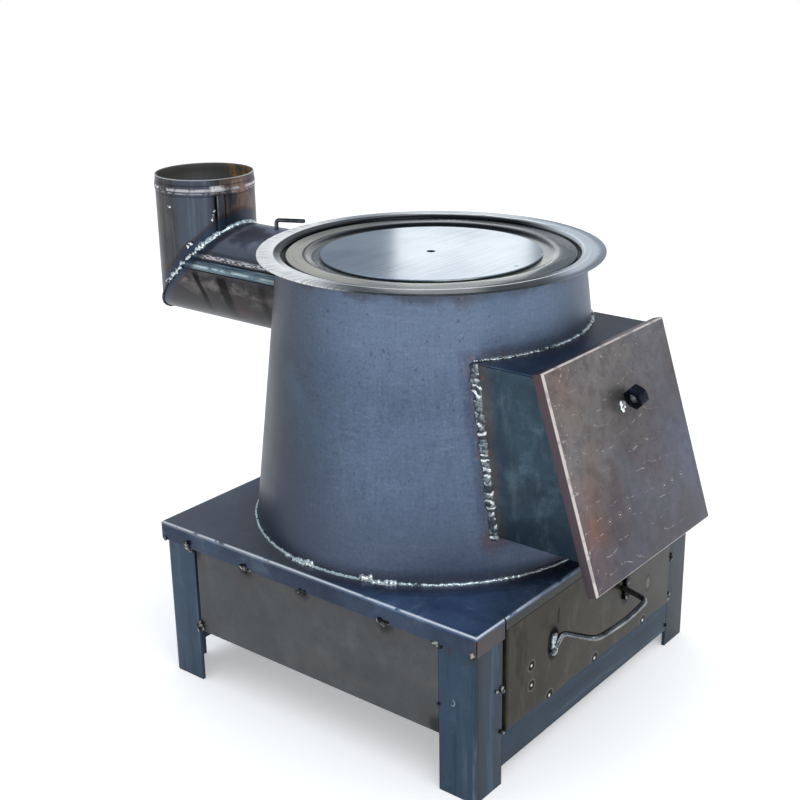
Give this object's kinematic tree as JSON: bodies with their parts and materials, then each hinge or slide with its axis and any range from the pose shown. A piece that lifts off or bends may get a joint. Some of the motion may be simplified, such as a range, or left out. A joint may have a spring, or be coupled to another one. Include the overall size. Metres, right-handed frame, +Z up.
{
  "type": "wood heating stove",
  "caption": "Welded sheet-steel wood stove: tapered fire body on an angle-iron base, hob flange with ring and lid, slanted feed door, ash drawer and mitred flue elbow with damper.",
  "frame": {"origin": "middle of the whole footprint on the floor, between the feed door's lower edge and the back of the flue riser", "axes": "+Z up, -Y towards the front with the feed door and the ash drawer, +Y towards the flue, +X to the stove's left-hand side as seen from behind, which is the viewer's right when facing the front"},
  "size_m": [0.44, 0.699, 0.541],
  "materials": {
    "plate_steel": "dark blue mill scale",
    "leg_steel": "blue-green mill scale",
    "rail_steel": "blue-green mill scale",
    "panel_steel": "grey mill scale",
    "grate_iron": "as cast",
    "body_steel": "blue-grey mill scale",
    "flange_steel": "brushed bright",
    "ring_steel": "spun bright",
    "lid_steel": "brushed bright",
    "inlet_steel": "dark mill scale",
    "riser_steel": "dark mill scale",
    "chute_steel": "dark teal mill scale",
    "roof_steel": "dark blue mill scale",
    "door_steel": "brown-grey mill scale with ground edges",
    "drawer_steel": "olive-grey mill scale",
    "tray_steel": "plain sheet",
    "rod_steel": "drawn rod",
    "dark_steel": "black oxide"
  },
  "bodies": {
    "stove": {"top_plate": "plate_steel", "leg_front_left": "leg_steel", "leg_front_right": "leg_steel", "leg_rear_left": "leg_steel", "leg_rear_right": "leg_steel", "front_rail": "rail_steel", "rear_rail": "rail_steel", "side_panel_left": "panel_steel", "side_panel_right": "panel_steel", "rear_panel": "panel_steel", "drawer_runner_left": "rail_steel", "drawer_runner_right": "rail_steel", "fire_grate": "grate_iron", "body_shell": "body_steel", "top_flange": "flange_steel", "flue_inlet_pipe": "inlet_steel", "flue_riser_pipe": "riser_steel", "chute_trough": "chute_steel", "chute_roof": "roof_steel", "hinge_chute_leaf_left": "dark_steel", "hinge_chute_leaf_right": "dark_steel", "hinge_pin_left": "rod_steel", "hinge_pin_right": "rod_steel"},
    "feed_door": {"door_pan": "door_steel", "door_pull_nut": "dark_steel", "hinge_door_leaf_left": "dark_steel", "hinge_door_leaf_right": "dark_steel"},
    "ash_drawer": {"drawer_front": "drawer_steel", "ash_tray": "tray_steel", "drawer_handle": "rod_steel"},
    "ring": {"reducing_ring": "ring_steel"},
    "lid": {"lid_disc": "lid_steel"},
    "damper": {"damper_spindle": "rod_steel", "damper_plate": "dark_steel", "damper_saddle_upper": "dark_steel", "damper_saddle_lower": "dark_steel"}
  },
  "joints": [
    {"name": "feed_door_hinge", "type": "hinge", "parent": "stove", "child": "feed_door", "pos_m": [0, -0.33483, 0.23913], "axis": [1, 0, 0], "range_deg": [0, 90]},
    {"name": "ash_drawer_slide", "type": "slide", "parent": "stove", "child": "ash_drawer", "axis": [0, -1, 0], "range_m": [0, 0.3]},
    {"name": "ring_lift", "type": "slide", "parent": "stove", "child": "ring", "axis": [0, 0, 1], "range_m": [0, 0.1]},
    {"name": "lid_lift", "type": "slide", "parent": "ring", "child": "lid", "axis": [0, 0, 1], "range_m": [0, 0.1]},
    {"name": "damper_turn", "type": "hinge", "parent": "stove", "child": "damper", "pos_m": [0, 0.16981, 0.424], "axis": [0, 0, 1], "range_deg": [0, 90]}
  ]
}
